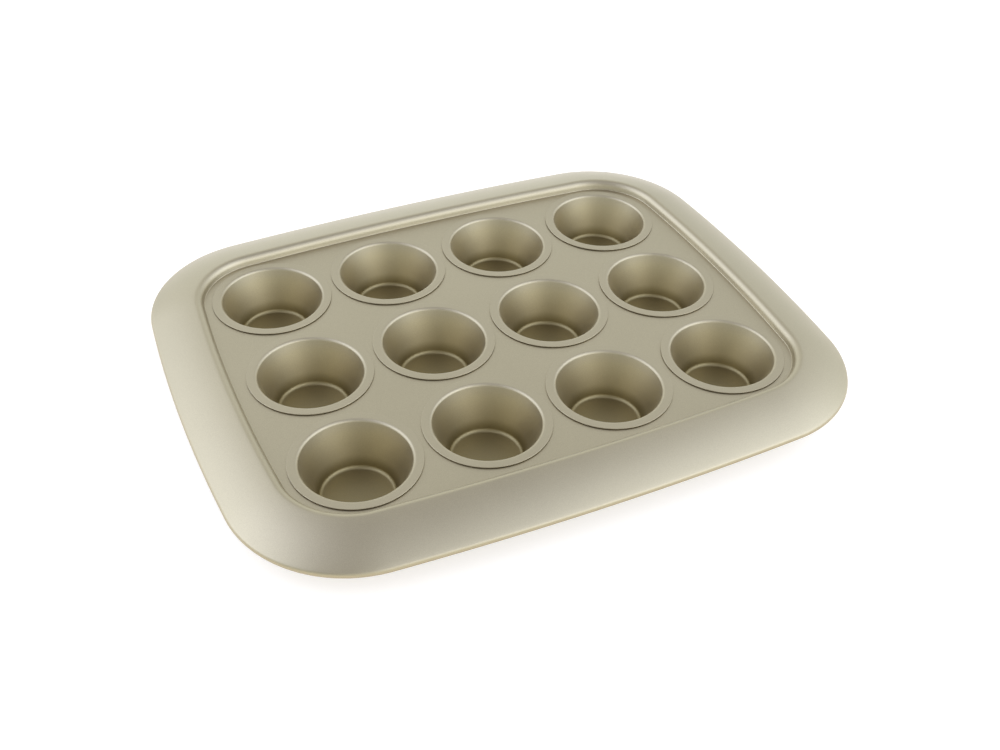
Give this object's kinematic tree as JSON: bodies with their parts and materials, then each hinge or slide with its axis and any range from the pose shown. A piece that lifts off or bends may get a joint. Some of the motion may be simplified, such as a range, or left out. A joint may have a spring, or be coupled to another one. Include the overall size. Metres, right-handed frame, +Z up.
{
  "type": "muffin tin",
  "caption": "Muffin tin: drawn round cups set in a recessed pressed deck with a broad sloping rim rolled round a wire.",
  "frame": {"origin": "middle of the cup grid, level with the undersides of the cups that the tin stands on", "axes": "+X along the longer side (the rows of four cups), +Y along the shorter side, +Z up out of the cups"},
  "size_m": [0.4348, 0.3516, 0.0362],
  "materials": {
    "tray_coating": "satin champagne-gold non-stick coating with a fine metallic grain",
    "cup_coating": "satin champagne-gold non-stick coating with a fine metallic grain",
    "steel_wire": "plain drawn steel wire"
  },
  "bodies": {
    "root": {"tray_frame": "tray_coating", "rim_wire": "steel_wire", "cup_row1_column1": "cup_coating", "cup_row1_column2": "cup_coating", "cup_row1_column3": "cup_coating", "cup_row1_column4": "cup_coating", "cup_row2_column1": "cup_coating", "cup_row2_column2": "cup_coating", "cup_row2_column3": "cup_coating", "cup_row2_column4": "cup_coating", "cup_row3_column1": "cup_coating", "cup_row3_column2": "cup_coating", "cup_row3_column3": "cup_coating", "cup_row3_column4": "cup_coating"}
  },
  "joints": []
}
